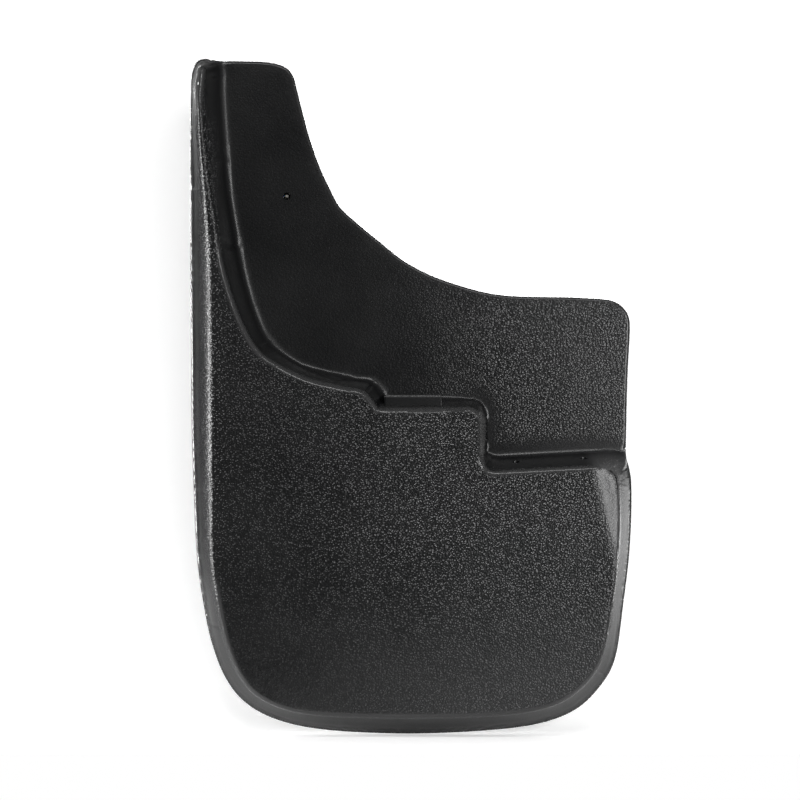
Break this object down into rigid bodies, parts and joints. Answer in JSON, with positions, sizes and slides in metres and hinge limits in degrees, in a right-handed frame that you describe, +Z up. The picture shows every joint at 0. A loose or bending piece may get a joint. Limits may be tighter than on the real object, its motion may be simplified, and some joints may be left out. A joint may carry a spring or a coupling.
{
  "type": "mud guard",
  "caption": "Moulded wheel-arch mud guard with a stepped recess in front, a hollow back and captive hexagon screws.",
  "frame": {"origin": "on the front of the flat mounting web, between the ridge and the web's concave free edge", "axes": "+Z up as fitted, -Y out of the grained front (the side the vehicle's flange lies on), +X from the ridge towards the outboard end of the web"},
  "size_m": [0.2871, 0.0588, 0.4391],
  "materials": {
    "moulded": "grained black thermoplastic",
    "steel": "zinc-plated",
    "nylon": "natural nylon"
  },
  "bodies": {
    "guard": {"guard_shell": "moulded"},
    "carrier_web": {"washer_web": "steel", "retaining_washer_web": "nylon"},
    "turn_web": {"screw_web": "steel"},
    "carrier_upper_ledge": {"washer_upper_ledge": "steel", "retaining_washer_upper_ledge": "nylon"},
    "turn_upper_ledge": {"screw_upper_ledge": "steel"},
    "carrier_lower_ledge_inner": {"washer_lower_ledge_inner": "steel", "retaining_washer_lower_ledge_inner": "nylon"},
    "turn_lower_ledge_inner": {"screw_lower_ledge_inner": "steel"},
    "carrier_lower_ledge_outer": {"washer_lower_ledge_outer": "steel", "retaining_washer_lower_ledge_outer": "nylon"},
    "turn_lower_ledge_outer": {"screw_lower_ledge_outer": "steel"}
  },
  "joints": [
    {"name": "web_drive", "type": "slide", "parent": "guard", "child": "carrier_web", "axis": [0, -1, 0], "range_m": [0, 0.012]},
    {"name": "web_turn", "type": "hinge", "parent": "carrier_web", "child": "turn_web", "pos_m": [-0.0085, 0, 0.0415], "axis": [0, -1, 0], "range_deg": [0, 2880]},
    {"name": "upper_ledge_drive", "type": "slide", "parent": "guard", "child": "carrier_upper_ledge", "axis": [0, 0, 1], "range_m": [0, 0.012]},
    {"name": "upper_ledge_turn", "type": "hinge", "parent": "carrier_upper_ledge", "child": "turn_upper_ledge", "pos_m": [0.078, -0.011, -0.09], "axis": [0, 0, 1], "range_deg": [0, 2880]},
    {"name": "lower_ledge_inner_drive", "type": "slide", "parent": "guard", "child": "carrier_lower_ledge_inner", "axis": [0, 0, 1], "range_m": [0, 0.012]},
    {"name": "lower_ledge_inner_turn", "type": "hinge", "parent": "carrier_lower_ledge_inner", "child": "turn_lower_ledge_inner", "pos_m": [0.14, -0.011, -0.1315], "axis": [0, 0, 1], "range_deg": [0, 2880]},
    {"name": "lower_ledge_outer_drive", "type": "slide", "parent": "guard", "child": "carrier_lower_ledge_outer", "axis": [0, 0, 1], "range_m": [0, 0.012]},
    {"name": "lower_ledge_outer_turn", "type": "hinge", "parent": "carrier_lower_ledge_outer", "child": "turn_lower_ledge_outer", "pos_m": [0.184, -0.011, -0.1295], "axis": [0, 0, 1], "range_deg": [0, 2880]}
  ],
  "couplings": [
    {"joint": "web_turn", "follows": "web_drive", "rad_per_m": 4188.8},
    {"joint": "upper_ledge_turn", "follows": "upper_ledge_drive", "rad_per_m": 4188.8},
    {"joint": "lower_ledge_inner_turn", "follows": "lower_ledge_inner_drive", "rad_per_m": 4188.8},
    {"joint": "lower_ledge_outer_turn", "follows": "lower_ledge_outer_drive", "rad_per_m": 4188.8}
  ]
}
